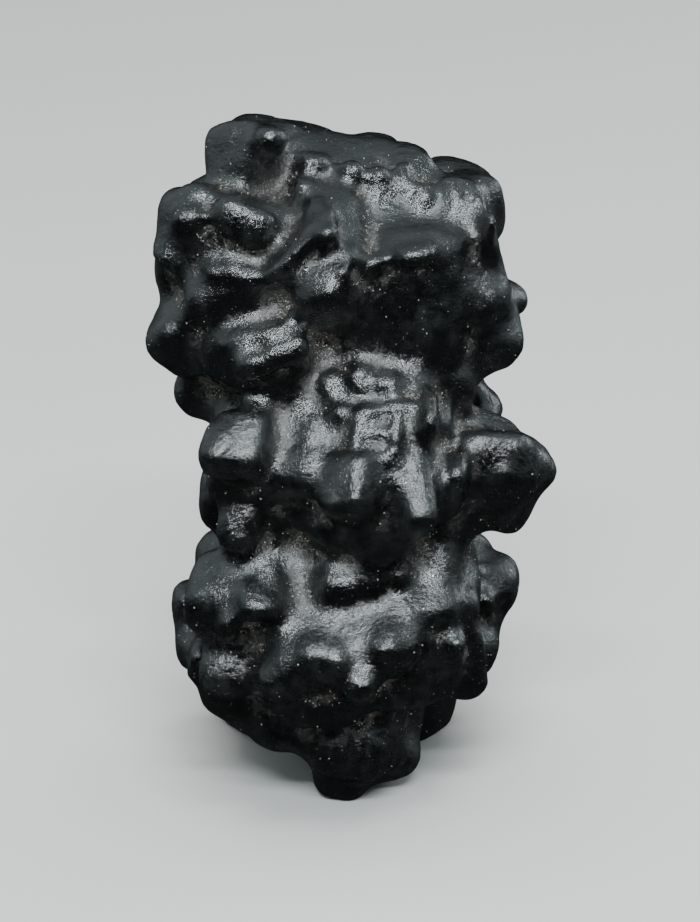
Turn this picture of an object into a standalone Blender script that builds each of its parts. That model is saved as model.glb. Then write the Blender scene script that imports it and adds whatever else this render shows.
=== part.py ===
"""A prophecy stone: one lobed natural concretion of iron oxide that stands on its lower lobes.

The stone is told as a list of soft blocks, the rounded cubes that its intergrown crystals swell into.
The front ones are placed by eye: across and up on a picture plane through the stone's middle, as seen
from in front and a little above, and by depth, the y of the block's middle. All lengths are millimetres
until the last step, which turns them into metres.
"""

import math

import bmesh
import bpy
import numpy as np
from mathutils import Euler, Vector
from mathutils.bvhtree import BVHTree

# The picture plane, in millimetres and degrees: its middle is this high above the ground
PLANE_MIDDLE = 29.5
EYE_DISTANCE = 230.0
EYE_TILT = 22.0

# How the skin is drawn over the blocks: its grain, and the radius that its creases fill to
VOXEL = 0.42
VALLEY_FILL = 0.9
LUMP_FILL = 0.45
KNOB_FILL = 0.3
BLOCK_SKEW = 0.12
BLOCK_SEED = 5
BLOCK_CUTS = 7
TRIANGLES = 9300
METRE = 0.001
CUTTER_SIZE = (0.12, 0.12, 0.02)

STONE_COLOUR = (0.012, 0.014, 0.014, 1.0)
STONE_ROUGHNESS = 0.34

# Each row: name, (across, up), depth, (width, length, height), (nod, roll, turn), squareness.
# A block first rolls about its length, then nods forward, then turns left or right, in degrees.
# Squareness 2 is a ball and 5 a box with round corners.
FRONT_MASSES = [
    ("left notch", (-9.8, 3.9), -2.0, (3.6, 7, 4.2), (36, 0, 0), 3),
    ("left crown top", (-7.6, 26.7), 6.0, (7.0, 7.5, 3.6), (6, 8, -16), 4),
    ("left crown back", (-4.4, 26.0), 9, (8.0, 8, 5.0), (0, 14, -10), 3.4),
    ("crown saddle", (-2.5, 24.2), 5.5, (9, 10, 5.4), (14, 9, 0), 2.8),
    ("right crown", (9.2, 21.0), 2.4, (5.0, 5.4, 5.6), (34, 12, 16), 4.4),
    ("right crown edge", (10.4, 21.8), 5, (3.8, 6.6, 5.6), (0, -6, 30), 3.6),
    ("right crown foot", (9.7, 17.0), 5, (3.2, 7, 6), (0, -4, 24), 3),
    ("crown slope", (2.6, 21.3), 3.4, (12.4, 7.6, 6), (40, 3, 0), 4.6),
    ("brow shelf", (4.8, 18.8), 0.2, (10.6, 7.4, 4.0), (28, 2, 4), 4.4),
    ("left shoulder", (-10.5, 19.3), 0.4, (10.6, 10, 6.6), (-25, 4, -12), 3.8),
    ("left shoulder back", (-10.6, 21.0), 3.6, (7.6, 8, 5), (8, 2, -10), 3.4),
    ("shoulder low face", (-14.0, 16.2), 1.6, (3.8, 7, 5.0), (-8, -8, -24), 3),
    ("shoulder chin", (-12.2, 18.2), -1.4, (6.8, 6, 3.2), (10, 42, -14), 3.8),
    ("under shoulder", (-10.8, 15.9), -2.6, (4.4, 4.4, 3.2), (40, -8, -8), 3.4),
    ("cheek", (-10.6, 14.2), -3.6, (6.4, 6.0, 3.8), (-6, -16, -6), 4),
    ("cheek right", (-8.2, 14.9), -3.4, (3.0, 5.5, 3.2), (-4, -14, 6), 3),
    ("cheek foot", (-11.4, 12.3), -2.2, (3.6, 6, 3.4), (-4, 12, 0), 3),
    ("left point", (-14.0, 11.0), -0.5, (5.6, 8.0, 4.8), (18, 44, -10), 4.6),
    ("left point root", (-11.2, 10.8), 1, (5.4, 9, 6.4), (0, 10, 0), 2.8),
    ("left heel", (-12.6, 5.9), 2, (4.4, 7, 3.2), (0, 40, -6), 3.2),
    ("left heel root", (-8.6, 7.0), 0, (4.0, 8, 4.6), (-6, 20, 0), 2.8),
    ("fist", (-7.6, 9.5), -4.2, (8.0, 7.0, 5.2), (-22, -14, -6), 4),
    ("fist left edge", (-10.4, 9.0), -4.2, (2.4, 6, 4.2), (-10, 4, -30), 3),
    ("fist under", (-7.0, 7.6), -3.9, (6.6, 7, 4.4), (0, 40, -4), 4),
    ("fist top", (-7.0, 12.2), -2.8, (6.0, 6, 3.2), (-6, -8, 0), 3),
    ("dome", (-2.2, 21.2), -0.8, (5.6, 6, 3.6), (20, -6, 0), 3),
    ("temple", (-1.9, 15.4), -5.2, (4.8, 7.2, 5.4), (46, -30, 0), 4.6),
    ("brow block", (5.2, 14.1), 0.2, (7.0, 11, 12.5), (-3, -2, 8), 5),
    ("brow block left", (1.5, 13.6), 0.0, (5.0, 10.5, 12), (-2, 2, -6), 4.6),
    ("brow block middle", (3.2, 14.0), 0.2, (4, 10.6, 11.5), (-3, 0, 0), 4),
    ("block corner", (8.0, 14.2), 1.2, (3.6, 8, 9.0), (0, 3, 34), 3.8),
    ("block cheek", (8.3, 11.6), 1.2, (3.0, 8, 7), (-16, 4, 36), 3.6),
    ("block jaw", (8.6, 6.9), -1.4, (3.2, 6, 5.0), (24, 0, 16), 3.4),
    ("temple right", (9.6, 15.0), 2.0, (4.4, 8, 8.4), (-28, 4, 34), 4),
    ("temple right top", (8.6, 16.8), 1.4, (5.4, 7, 4.6), (30, 20, 16), 3.4),
    ("right bead", (13.4, 13.9), 6, (3.6, 4.2, 2.8), (0, 34, 0), 3),
    ("right cheek", (11.8, 11.1), 0.6, (5.2, 6.5, 5.0), (34, 20, 16), 4.6),
    ("right cheek foot", (9.9, 8.5), 1.2, (3.2, 6, 3.6), (-6, -24, 16), 3),
    ("right heel", (11.1, 4.4), 7, (4.2, 5, 4.0), (0, 34, 0), 3),
    ("fang roof", (2.8, 1.3), -7.1, (8.8, 12.6, 7), (48, 0, 0), 5.5),
    ("fang left face", (-3.4, 0.3), -7.4, (5.4, 8.2, 6), (44, -18, -24), 5),
    ("fang shoulder", (-3.8, 2.6), -6.0, (6.4, 6.6, 5), (44, -8, -6), 4.5),
    ("fang right lobe", (7.0, -2.3), -8.0, (2.6, 6.0, 5.4), (30, 8, 34), 4),
    ("left ledge root", (-6.6, 1.0), -6.6, (3.4, 7, 4.4), (30, 0, 0), 3),
    ("left ledge under", (-9.3, -1.2), -5.8, (5.4, 8, 4.0), (-8, 12, -10), 3),
    ("ledge lobe under", (-6.2, -4.2), -6.4, (3.2, 6, 3.2), (-10, 0, 0), 3),
    ("left hip", (-10.9, -2.7), 0.2, (3.8, 7, 5.4), (0, 4, 0), 3),
    ("left hip low", (-9.4, -5.8), 0.8, (3.2, 7, 4.6), (0, 6, 0), 3),
    ("right point back", (11.2, 1.4), -0.6, (7.4, 7.5, 4.4), (14, 28, 10), 4),
    ("right point tip", (15.3, -0.2), -1.6, (4.2, 5.0, 3.2), (10, 40, 12), 3.8),
    ("right point face", (11.6, -1.4), -4.6, (6.8, 5, 4.6), (-10, 6, 10), 4),
    ("right point under", (11.9, -2.7), -2.0, (6.0, 7, 4.2), (-10, 38, 12), 3.4),
    ("right point root", (8.6, -3.2), -2.4, (5.0, 9, 7.0), (-8, 6, 10), 3),
    ("right hip", (12.3, -10.6), 6, (4.2, 6, 5.6), (0, 8, 0), 3),
    ("right hip low", (10.9, -15.6), 3.6, (3.6, 6, 4.8), (0, 8, 0), 3),
    ("left haunch", (-9.4, -10.9), -8.8, (8.6, 6.4, 5), (33, -4, -12), 4.8),
    ("left haunch edge", (-12.2, -12.4), -6.6, (3.4, 6, 3.4), (-4, -16, -14), 3),
    ("left haunch lobe", (-9.4, -15.9), -8.0, (3.8, 5, 3.2), (-8, 6, -6), 3),
    ("left rim bead", (-13.7, -11.9), 2.4, (3.0, 5, 3.8), (0, 0, 0), 2.8),
    ("left rim low bead", (-13.0, -15.4), 1.0, (3.0, 5.4, 3.8), (0, -14, 0), 2.8),
    ("left lower lobe", (-10.2, -17.0), -6.8, (4.4, 6, 4.0), (40, 6, -12), 3.8),
    ("left lower body", (-9.2, -18.9), -2.8, (6.4, 8.5, 6.0), (-14, 22, -8), 3),
    ("middle saddle", (-3.4, -8.6), -7.2, (5.6, 6.5, 4.8), (44, 0, 0), 3),
    ("right saddle", (6.6, -8.6), -6.6, (5.2, 6.0, 5.0), (40, -4, 0), 3.2),
    ("right saddle back", (9.2, -9.8), -3.4, (3.6, 6, 4.6), (24, 0, 10), 3),
    ("right ridge", (2.2, -14.3), -10.8, (7.8, 8.0, 5.0), (40, -4, -4), 4.4),
    ("right ridge crest", (6.9, -11.7), -8.4, (4.8, 6.0, 4.6), (34, 14, 10), 4),
    ("right ridge under", (6.4, -15.4), -8.4, (6.4, 6.6, 4.4), (-6, 4, 8), 3.4),
    ("front lobe", (-3.0, -15.9), -11.8, (6.4, 6.8, 5), (40, 0, -6), 5),
    ("front left lobe", (-6.4, -18.3), -11.4, (3.8, 5.4, 4.8), (42, -16, -24), 4.2),
    ("front right lobe", (0.8, -18.6), -12.4, (3.0, 5, 4), (42, -6, 6), 3.8),
    ("front under", (-2.6, -20.0), -8.8, (8.4, 8, 4.6), (-8, 0, 0), 3.4),
    ("right flank", (5.2, -17.5), -6.6, (8.2, 9, 5.8), (-10, -14, 10), 3.2),
    ("right flank edge", (9.2, -17.7), -1.6, (4.4, 6.5, 4.6), (-8, -26, 16), 3),
    ("keel", (0.0, -23.6), -4.4, (9.0, 10, 6.4), (-20, 0, 0), 3),
    ("keel left lobe", (-6.0, -21.9), -3.6, (5.0, 8, 4.4), (-10, 22, -6), 3),
    ("keel tip", (-0.6, -26.3), -3.6, (4.6, 6, 4.8), (-6, 20, 0), 3),
    ("keel tip right", (3.2, -24.8), -1.8, (4.8, 6.4, 4.2), (-8, -14, 0), 3.2),
]

# Each row: name, middle (x, y, z), (width, length, height), (nod, roll, turn), squareness
HIDDEN_MASSES = [
    ("head core", (0.5, 2.5, 46.5), (21, 15, 15), (0, 0, 0), 2.8),
    ("neck core", (0, 1.5, 37), (17, 14, 14), (0, 0, 0), 2.6),
    ("waist core", (0, -0.5, 27), (17, 15, 12), (0, 0, 0), 2.6),
    ("haunch core", (0, 0, 15), (21, 17, 15), (0, 0, 0), 2.6),
    ("back crown", (-3.8, 9, 51.0), (10.5, 9, 8.6), (-6, 10, 0), 3.4),
    ("back crown right", (6.6, 9, 47.6), (8.6, 9, 10), (-4, -6, -30), 3.4),
    ("back shoulder", (-9, 8, 46), (9, 9, 9), (0, 14, 30), 3.6),
    ("back block", (-1, 11, 43), (9, 7, 9), (0, 30, 6), 3.8),
    ("back neck left", (-8, 8, 35), (8, 8, 8), (0, 40, 16), 3.4),
    ("back neck right", (7, 9, 37), (9, 8, 8), (0, -30, -10), 3.6),
    ("back point", (-1, 11, 32), (9, 8, 8), (-16, 45, 0), 3.8),
    ("back waist left", (-9, 7, 25), (7, 8, 7), (0, 10, 20), 3.2),
    ("back waist right", (8, 9, 26), (7, 8, 7), (0, 30, -20), 3.2),
    ("back haunch left", (-9, 8, 16), (9, 9, 8), (0, -14, 30), 3.6),
    ("back haunch", (0, 11, 19), (9, 8, 8), (0, 36, 0), 3.6),
    ("back haunch right", (8, 9, 15), (9, 9, 9), (0, 14, -30), 3.6),
    ("back foot left", (-8.2, 9.6, 4.4), (8.5, 8.5, 13), (0, -10, 30), 3.4),
    ("back foot right", (5.5, 8.8, 4.4), (7.6, 8.6, 13), (0, 8, -30), 3.4),
    ("saddle core", (0.5, -1.5, 19.5), (21, 16, 8), (8, 0, 0), 3.6),
    ("keel core", (0, 2, 7), (13, 12, 12), (0, 0, 0), 2.6),
]

# Lumps have the rows of the front masses, and fill only narrow creases
LUMPS = [
    ("right point", (11.9, 0.1), -4.4, (7.4, 6.5, 5.0), (-16, 6, 12), 5),
    ("left ledge corner", (-11.0, 0.9), -9.8, (3.4, 4.2, 3.6), (34, 4, -24), 4.4),
    ("left ledge", (-9.2, 1.2), -9.0, (4.2, 5.8, 4.2), (34, 2, -4), 5),
    ("fang", (2.7, -4.7), -8.3, (6.0, 7.5, 6.2), (2, 45, 0), 4.6),
    ("fang right lip", (5.4, -3.3), -11.2, (3.0, 6.0, 4.2), (48, 8, 12), 5),
    ("fang left lip", (-0.5, -2.6), -11.6, (4.2, 5.6, 4.2), (48, -10, -14), 5),
    ("left crown finger", (-6.9, 26.6), 0.9, (2.3, 3.8, 3.0), (-8, 28, 10), 4),
    ("left crown", (-8.9, 25.7), 3.5, (5.4, 5.8, 5.6), (-26, -22, -36), 5),
    ("crown back knuckle", (2.2, 25.7), 8.4, (4.4, 6, 3.6), (0, 4, 0), 3.4),
    ("crown middle", (-0.4, 24.8), 9, (4.4, 6, 3.6), (0, 6, 0), 3),
    ("crown right knuckle", (4.9, 24.7), 6, (3.4, 6, 4.2), (0, 14, 8), 3.6),
    ("crown far knuckle", (9.1, 23.5), 9.5, (6.6, 6, 3.8), (0, 12, 0), 3),
    ("temple crest right", (10.8, 17.4), 0.6, (1.8, 5.0, 4.2), (10, 30, 20), 3),
    ("temple crest", (5.2, 18.9), -2.2, (9.0, 3.0, 1.8), (10, 4, -6), 2.8),
    ("shoulder tail", (-6.6, 19.2), -2.6, (4.2, 5, 2.8), (0, 34, 0), 3),
    ("shoulder low ridge", (-14.2, 17.4), -1.4, (5.2, 6, 1.9), (0, 30, -14), 3),
    ("fist crest", (-7.8, 10.6), -6.0, (6.8, 5, 2.2), (-10, -16, -6), 3.4),
    ("slab", (-4.6, 18.4), -3.8, (8.6, 7.0, 2.0), (-4, -46, 4), 4.6),
    ("fang under layer", (-1.6, -4.6), -6.8, (7.6, 8, 2.6), (10, 38, -6), 3.2),
    ("fang last layer", (-1.6, -6.3), -5.4, (6.8, 8, 2.2), (8, 40, -6), 3),
    ("fang chin", (2.6, -5.8), -6.8, (5.2, 8, 4.4), (0, 0, 0), 3),
    ("ledge lobe", (-6.0, -1.7), -8.6, (3.2, 3.6, 2.4), (36, 14, 0), 3.4),
    ("oval knob", (-9.3, -5.6), -6.4, (3.6, 4.4, 4.8), (-14, 10, -10), 3.8),
    ("left rim rib", (-12.7, -16.6), -2.6, (1.8, 5, 4.0), (0, 10, -10), 2.8),
    ("middle bead", (-0.9, -10.4), -9.6, (4.2, 5, 3.4), (0, 6, 0), 3.4),
    ("right rib", (10.2, -15.2), -3.8, (1.6, 5, 5.0), (4, -10, 20), 3),
]

# Knobs sit on the skin where their line of sight meets it.
# Each row: name, (across, up), lift towards the eye, (width, length, height), (nod, roll, turn), squareness
KNOBS = [
    ("fang left bead", (-0.8, 4.2), 0.2, (1.6, 1.8, 1.0), (44, 0, 0), 2.8),
    ("fang bead far", (3.2, 6.6), 0.2, (2.2, 2.0, 1.2), (44, 0, 0), 2.8),
    ("fang step left side", (0.5, 2.6), 0.3, (0.9, 3.0, 1.2), (46, 0, -6), 3),
    ("fang step middle", (3.9, 2.4), 0.3, (0.9, 3.6, 1.2), (46, 0, 0), 3),
    ("fang step side", (5.6, 3.2), 0, (0.9, 3.0, 1.2), (48, 0, 6), 3),
    ("fang low step", (2.2, 0.2), 0, (3.4, 1.1, 1.3), (48, 0, 0), 3),
    ("right crown facet", (9.0, 23.0), -0.2, (2.2, 2.6, 1.2), (30, 16, 14), 3.2),
    ("right crown rib", (11.6, 19.6), 0.2, (0.9, 2.4, 3.4), (0, 6, 30), 2.8),
    ("right crown bead", (10.6, 22.6), -0.1, (1.1, 3.6, 1.4), (30, 10, 24), 2.8),
    ("cheek bead", (-8.6, 15.9), 0, (1.8, 2.6, 1.5), (24, -14, 0), 3),
    ("under shoulder bead", (-10.0, 16.4), 0, (1.6, 2.6, 1.5), (30, 0, 0), 3),
    ("under shoulder bump", (-11.4, 16.2), 0, (1.8, 2.6, 1.6), (30, 0, 0), 3),
    ("ring knob", (-3.1, 25.2), 0.4, (2.6, 2.6, 1.9), (-6, 6, 0), 3.6),
    ("seed knob", (-4.0, 23.3), 0.3, (1.7, 2.2, 1.3), (-6, 0, 0), 3),
    ("dark knob", (0.0, 24.5), 0.6, (2.2, 2.6, 2.4), (-8, 0, 0), 3.8),
    ("long knob", (2.2, 23.7), 0.6, (2.0, 2.6, 3.0), (10, 12, 0), 3.4),
    ("bright knob", (4.5, 23.7), 0.3, (1.7, 3.4, 2.0), (50, 4, 0), 3),
    ("small bright knob", (6.3, 22.4), 0.2, (1.4, 2.6, 1.6), (48, 0, 0), 3),
    ("slope rib", (3.3, 22.4), 0.3, (1.0, 4.4, 1.4), (54, 6, 4), 2.8),
    ("slope rib left", (2.0, 21.4), -0.2, (1.6, 3.2, 1.0), (54, -4, 0), 2.8),
    ("slope rib right", (5.6, 21.8), 0, (1.1, 3.0, 1.2), (54, -8, 0), 2.8),
    ("shoulder left knob", (-13.6, 20.8), 0.5, (2.8, 3.0, 2.4), (-12, -4, -14), 3.6),
    ("shoulder left brow", (-13.2, 22.6), 0.3, (2.8, 3.0, 1.5), (10, -6, 0), 3),
    ("shoulder right knob", (-9.2, 19.9), 0.5, (4.6, 3.4, 4.0), (-18, 22, -4), 4),
    ("fist knuckle", (-5.4, 9.3), 0.3, (3.8, 3.4, 2.4), (-14, -14, 8), 3.4),
    ("fist lower knuckle", (-8.0, 8.2), 0.3, (3.6, 3.4, 2.4), (-8, -12, -10), 3.2),
    ("fist bead", (-4.2, 8.3), 0.2, (1.7, 2.6, 1.6), (-6, 0, 0), 3),
    ("slab head", (-1.9, 19.3), 0, (1.8, 3, 1.8), (0, -30, 0), 3.2),
    ("dome bead", (-3.0, 21.5), 0, (1.5, 3, 1.4), (0, 0, 0), 2.6),
    ("temple knob", (0.4, 19.4), 0, (1.4, 2.6, 1.6), (30, 6, 0), 2.8),
    ("brow bead", (-0.2, 17.6), 0.2, (1.5, 2.6, 1.4), (16, 8, 0), 3.2),
    ("brow curl", (0.9, 16.9), 0.3, (1.2, 2.4, 1.8), (10, -10, 0), 3),
    ("brow finger", (2.1, 16.6), 0.3, (0.9, 2.4, 2.4), (10, 26, 0), 3),
    ("brow seam", (-0.4, 15.8), 0.2, (0.8, 2.4, 2.2), (10, -6, 0), 2.8),
    ("brow ridge", (5.5, 17.4), -0.1, (3.8, 3.4, 1.8), (4, -8, 8), 3.2),
    ("fang bead", (-1.6, 6.4), 0.2, (2.2, 2.4, 1.6), (44, 0, 0), 2.8),
    ("fang bead right", (0.8, 7.0), 0.2, (2.0, 2.4, 1.4), (44, 0, 0), 2.8),
    ("fang step left", (1.5, 4.1), 0.3, (2.4, 1.0, 1.2), (46, 0, -6), 3),
    ("fang step right", (4.4, 4.5), 0.1, (2.8, 1.2, 1.4), (48, 4, 8), 3.4),
    ("fang ridge", (2.2, 2.3), 0.3, (3.0, 0.9, 1.2), (46, 0, 0), 3),
    ("fang right rib", (6.7, 3.8), 0.2, (1.6, 5, 3.6), (20, 4, 0), 2.8),
    ("fang right rib back", (7.9, 3.4), 0.2, (1.4, 5, 3.6), (16, 0, 0), 2.8),
    ("right point bead", (13.1, -0.8), 0, (1.6, 2, 1.5), (30, 6, 0), 3),
    ("right point lobe", (9.0, -1.0), 0, (2.2, 4, 3.0), (6, 0, 0), 2.8),
    ("left haunch bump", (-7.8, -11.8), -0.5, (3.4, 4, 2.2), (30, 6, 6), 3),
    ("left haunch bead", (-10.4, -13.6), 0.3, (1.8, 2.6, 2.8), (30, 18, 0), 2.8),
    ("middle bead right", (1.7, -9.9), 0.2, (2.6, 3.4, 2.4), (-10, 0, 0), 3),
    ("middle bead far", (4.1, -9.6), 0.2, (2.4, 3.4, 2.4), (-10, 0, 0), 3),
    ("right ridge bump", (3.0, -15.3), -0.5, (2.6, 3.4, 1.8), (34, -10, 0), 3),
    ("right ridge bead", (9.0, -15.2), 0, (1.7, 3, 1.6), (0, 0, 0), 2.8),
    ("right rib top", (9.8, -11.8), 0, (2.2, 5, 3.0), (6, 0, 10), 2.8),
    ("right rim bead", (11.5, -11.6), 0, (1.8, 4, 2.6), (0, 0, 0), 2.8),
    ("front lobe bump", (-3.2, -16.1), -0.5, (2.6, 3.0, 2.0), (34, 0, 0), 3),
    ("front lobe right bump", (-1.1, -16.6), -0.5, (1.8, 2.8, 2.0), (34, 8, 0), 3),
    ("keel bead", (-1.4, -23.8), -0.3, (3.0, 4, 3.0), (-8, 0, 0), 3),
    ("keel right bead", (4.4, -23.2), 0, (3.0, 5, 3.4), (-10, -20, 8), 3),
]


def eye_frame():
    """The stone's middle, the eye, and the picture plane's up direction."""
    tilt = math.radians(EYE_TILT)
    middle = Vector((0, 0, PLANE_MIDDLE))
    to_eye = Vector((0, -math.cos(tilt), math.sin(tilt)))
    up = Vector((0, math.sin(tilt), math.cos(tilt)))
    return middle, middle + EYE_DISTANCE * to_eye, up


MIDDLE, EYE, PICTURE_UP = eye_frame()


def sight(across, up):
    """The direction from the eye through a point of the picture plane."""
    return (MIDDLE + Vector((across, 0, 0)) + up * PICTURE_UP - EYE).normalized()


def at_depth(across, up, depth):
    """Where the line of sight through a point of the picture plane has y = depth."""
    line = sight(across, up)
    return EYE + line * ((depth - EYE.y) / line.y)


def unit_cube():
    """A cube from -1 to 1 with a grid of points that is even when seen from its middle."""
    cage = bmesh.new()
    bmesh.ops.create_cube(cage, size=2)
    bmesh.ops.subdivide_edges(cage, edges=cage.edges[:], cuts=BLOCK_CUTS, use_grid_fill=True)
    points = np.tan(np.array([v.co for v in cage.verts]) * math.pi / 4)
    faces = [[v.index for v in face.verts] for face in cage.faces]
    cage.free()
    return points, faces


CUBE_POINTS, CUBE_FACES = unit_cube()


def soft_block(middle, size, turns, squareness, skew):
    """The points of one block: a superellipsoid whose sides draw in or spread a little."""
    reach = (np.abs(CUBE_POINTS) ** squareness).sum(1) ** (1 / squareness)
    unit = CUBE_POINTS / reach[:, None]
    points = unit * np.array(size) / 2
    points[:, 0] *= 1 + skew[0] * unit[:, 2] + skew[1] * unit[:, 1]
    points[:, 2] *= 1 + skew[2] * unit[:, 0] + skew[3] * unit[:, 1]
    turn = np.array(Euler([math.radians(a) for a in turns], "YXZ").to_matrix())
    return points @ turn.T + np.array(middle)


def gather(blocks, stone=None):
    """One object of all the blocks, each (middle, size, turns, squareness), and of the stone so far."""
    chance = np.random.default_rng(BLOCK_SEED)
    points, faces = [], []
    for middle, size, turns, squareness in blocks:
        start = len(points)
        skew = chance.uniform(-BLOCK_SKEW, BLOCK_SKEW, 4)
        points.extend(soft_block(middle, size, turns, squareness, skew).tolist())
        faces.extend([[i + start for i in face] for face in CUBE_FACES])
    if stone:
        start = len(points)
        points.extend([tuple(v.co) for v in stone.data.vertices])
        faces.extend([[i + start for i in face.vertices] for face in stone.data.polygons])
        bpy.data.objects.remove(stone)
    mesh = bpy.data.meshes.new("prophecy_stone")
    mesh.from_pydata(points, [], faces)
    joined = bpy.data.objects.new("prophecy_stone", mesh)
    bpy.context.scene.collection.objects.link(joined)
    return joined


def apply_modifiers(thing):
    """Turns what the modifiers make into the object's own mesh."""
    graph = bpy.context.evaluated_depsgraph_get()
    mesh = bpy.data.meshes.new_from_object(thing.evaluated_get(graph))
    thing.modifiers.clear()
    thing.data = mesh


def draw_skin(stone, fill, smoothing):
    """Fuses the blocks into one skin and fills every crease to a radius of fill."""
    for label, swell in (("swell", fill), ("shrink", -fill), ("settle", 0)):
        fuse = stone.modifiers.new("fuse before " + label, "REMESH")
        fuse.mode = "VOXEL"
        fuse.voxel_size = VOXEL
        if swell:
            shift = stone.modifiers.new(label, "DISPLACE")
            shift.mid_level = 0
            shift.strength = swell
    soften = stone.modifiers.new("soften", "SMOOTH")
    soften.iterations = smoothing
    soften.factor = 0.5
    apply_modifiers(stone)


def on_the_skin(stone, rows):
    """Moves each knob to where its line of sight meets the skin, and towards the eye by its lift."""
    skin = BVHTree.FromObject(stone, bpy.context.evaluated_depsgraph_get())
    knobs = []
    for _, (across, up), lift, size, turns, squareness in rows:
        line = sight(across, up)
        place = skin.ray_cast(EYE, line)[0]
        knobs.append((place - lift * line, size, turns, squareness))
    return knobs


def stand_over_origin(stone):
    """Puts the middle of the stone's box over the origin and turns millimetres into metres."""
    points = np.array([point.co for point in stone.data.vertices])
    middle = (points.min(0) + points.max(0)) / 2
    shift = Vector((middle[0], middle[1], 0))
    for point in stone.data.vertices:
        point.co = (point.co - shift) * METRE


def material():
    """Near-black iron oxide with a satin polish from handling and wind."""
    black = bpy.data.materials.new("black iron oxide")
    black.use_nodes = True
    shader = black.node_tree.nodes["Principled BSDF"]
    shader.inputs["Base Color"].default_value = STONE_COLOUR
    shader.inputs["Metallic"].default_value = 0.0
    shader.inputs["Roughness"].default_value = STONE_ROUGHNESS
    return black


def collection(name):
    """A new collection in the scene."""
    made = bpy.data.collections.new(name)
    bpy.context.scene.collection.children.link(made)
    return made


def move_to(thing, target):
    """Puts an object in one collection only."""
    for old in thing.users_collection:
        old.objects.unlink(thing)
    target.objects.link(thing)


def ground_cutter(target):
    """A block under the ground plane that wears the lowest lobes flat."""
    bpy.ops.mesh.primitive_cube_add(size=1, location=(0, 0, -CUTTER_SIZE[2] / 2))
    cutter = bpy.context.object
    cutter.name = "ground"
    cutter.scale = CUTTER_SIZE
    cutter.display_type = "WIRE"
    cutter.hide_render = True
    move_to(cutter, target)
    return cutter


def build():
    for thing in list(bpy.data.objects):
        bpy.data.objects.remove(thing)

    masses = [(at_depth(*spot, depth), *rest) for _, spot, depth, *rest in FRONT_MASSES]
    masses += [(Vector(middle), *rest) for _, middle, *rest in HIDDEN_MASSES]
    stone = gather(masses)
    draw_skin(stone, VALLEY_FILL, smoothing=1)

    lumps = [(at_depth(*spot, depth), *rest) for _, spot, depth, *rest in LUMPS]
    stone = gather(lumps, stone)
    draw_skin(stone, LUMP_FILL, smoothing=1)

    stone = gather(on_the_skin(stone, KNOBS), stone)
    draw_skin(stone, KNOB_FILL, smoothing=2)

    stand_over_origin(stone)
    stone.data.materials.append(material())
    stone.data.shade_smooth()
    move_to(stone, collection("prophecy stone"))

    thin = stone.modifiers.new("thin out", "DECIMATE")
    thin.ratio = TRIANGLES / (2 * len(stone.data.polygons))
    wear = stone.modifiers.new("wear the feet flat", "BOOLEAN")
    wear.object = ground_cutter(collection("cutters"))


build()
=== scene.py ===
"""The prophecy stone as it looks: one satin-black, lobed concretion of iron oxide, dusty in its creases.

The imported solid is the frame. The stone's own skin is drawn again from the same kind of list, finer.
Lengths in the lists are millimetres; every finished piece is in metres.
"""
import math

import bmesh
import bpy
import numpy as np
from mathutils import Euler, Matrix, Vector
from mathutils.bvhtree import BVHTree


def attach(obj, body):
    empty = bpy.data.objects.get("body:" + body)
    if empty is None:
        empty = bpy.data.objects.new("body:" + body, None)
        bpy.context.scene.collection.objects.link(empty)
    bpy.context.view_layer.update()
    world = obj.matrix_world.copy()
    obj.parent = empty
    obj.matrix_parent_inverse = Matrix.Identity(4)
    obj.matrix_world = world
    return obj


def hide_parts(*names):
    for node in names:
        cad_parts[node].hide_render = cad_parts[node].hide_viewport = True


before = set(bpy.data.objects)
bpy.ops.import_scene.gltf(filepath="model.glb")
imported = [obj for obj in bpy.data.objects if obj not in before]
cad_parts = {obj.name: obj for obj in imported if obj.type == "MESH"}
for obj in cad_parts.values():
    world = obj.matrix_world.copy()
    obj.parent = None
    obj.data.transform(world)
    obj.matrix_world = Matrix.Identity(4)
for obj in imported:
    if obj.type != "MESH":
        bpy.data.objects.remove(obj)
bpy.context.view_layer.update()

# The main crystal masses. The real stone grew as rounded cubes of iron sulphide, set in three tiers round a
# core, and turned to black iron oxide with its shape kept. Each mass is a soft block, placed across and up
# on a picture plane through the stone's middle, seen from in front and a little above, and by depth.
PLANE_MIDDLE = 29.5
EYE_DISTANCE = 230.0
EYE_TILT = 22.0
SKIN_GRAIN = 0.34
VALLEY_FILL = 0.9
SMOOTH_PASSES = 1
SMOOTH_SHARE = 0.5
BLOCK_SKEW = 0.12
BLOCK_SEED = 5
BLOCK_CUTS = 7

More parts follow.
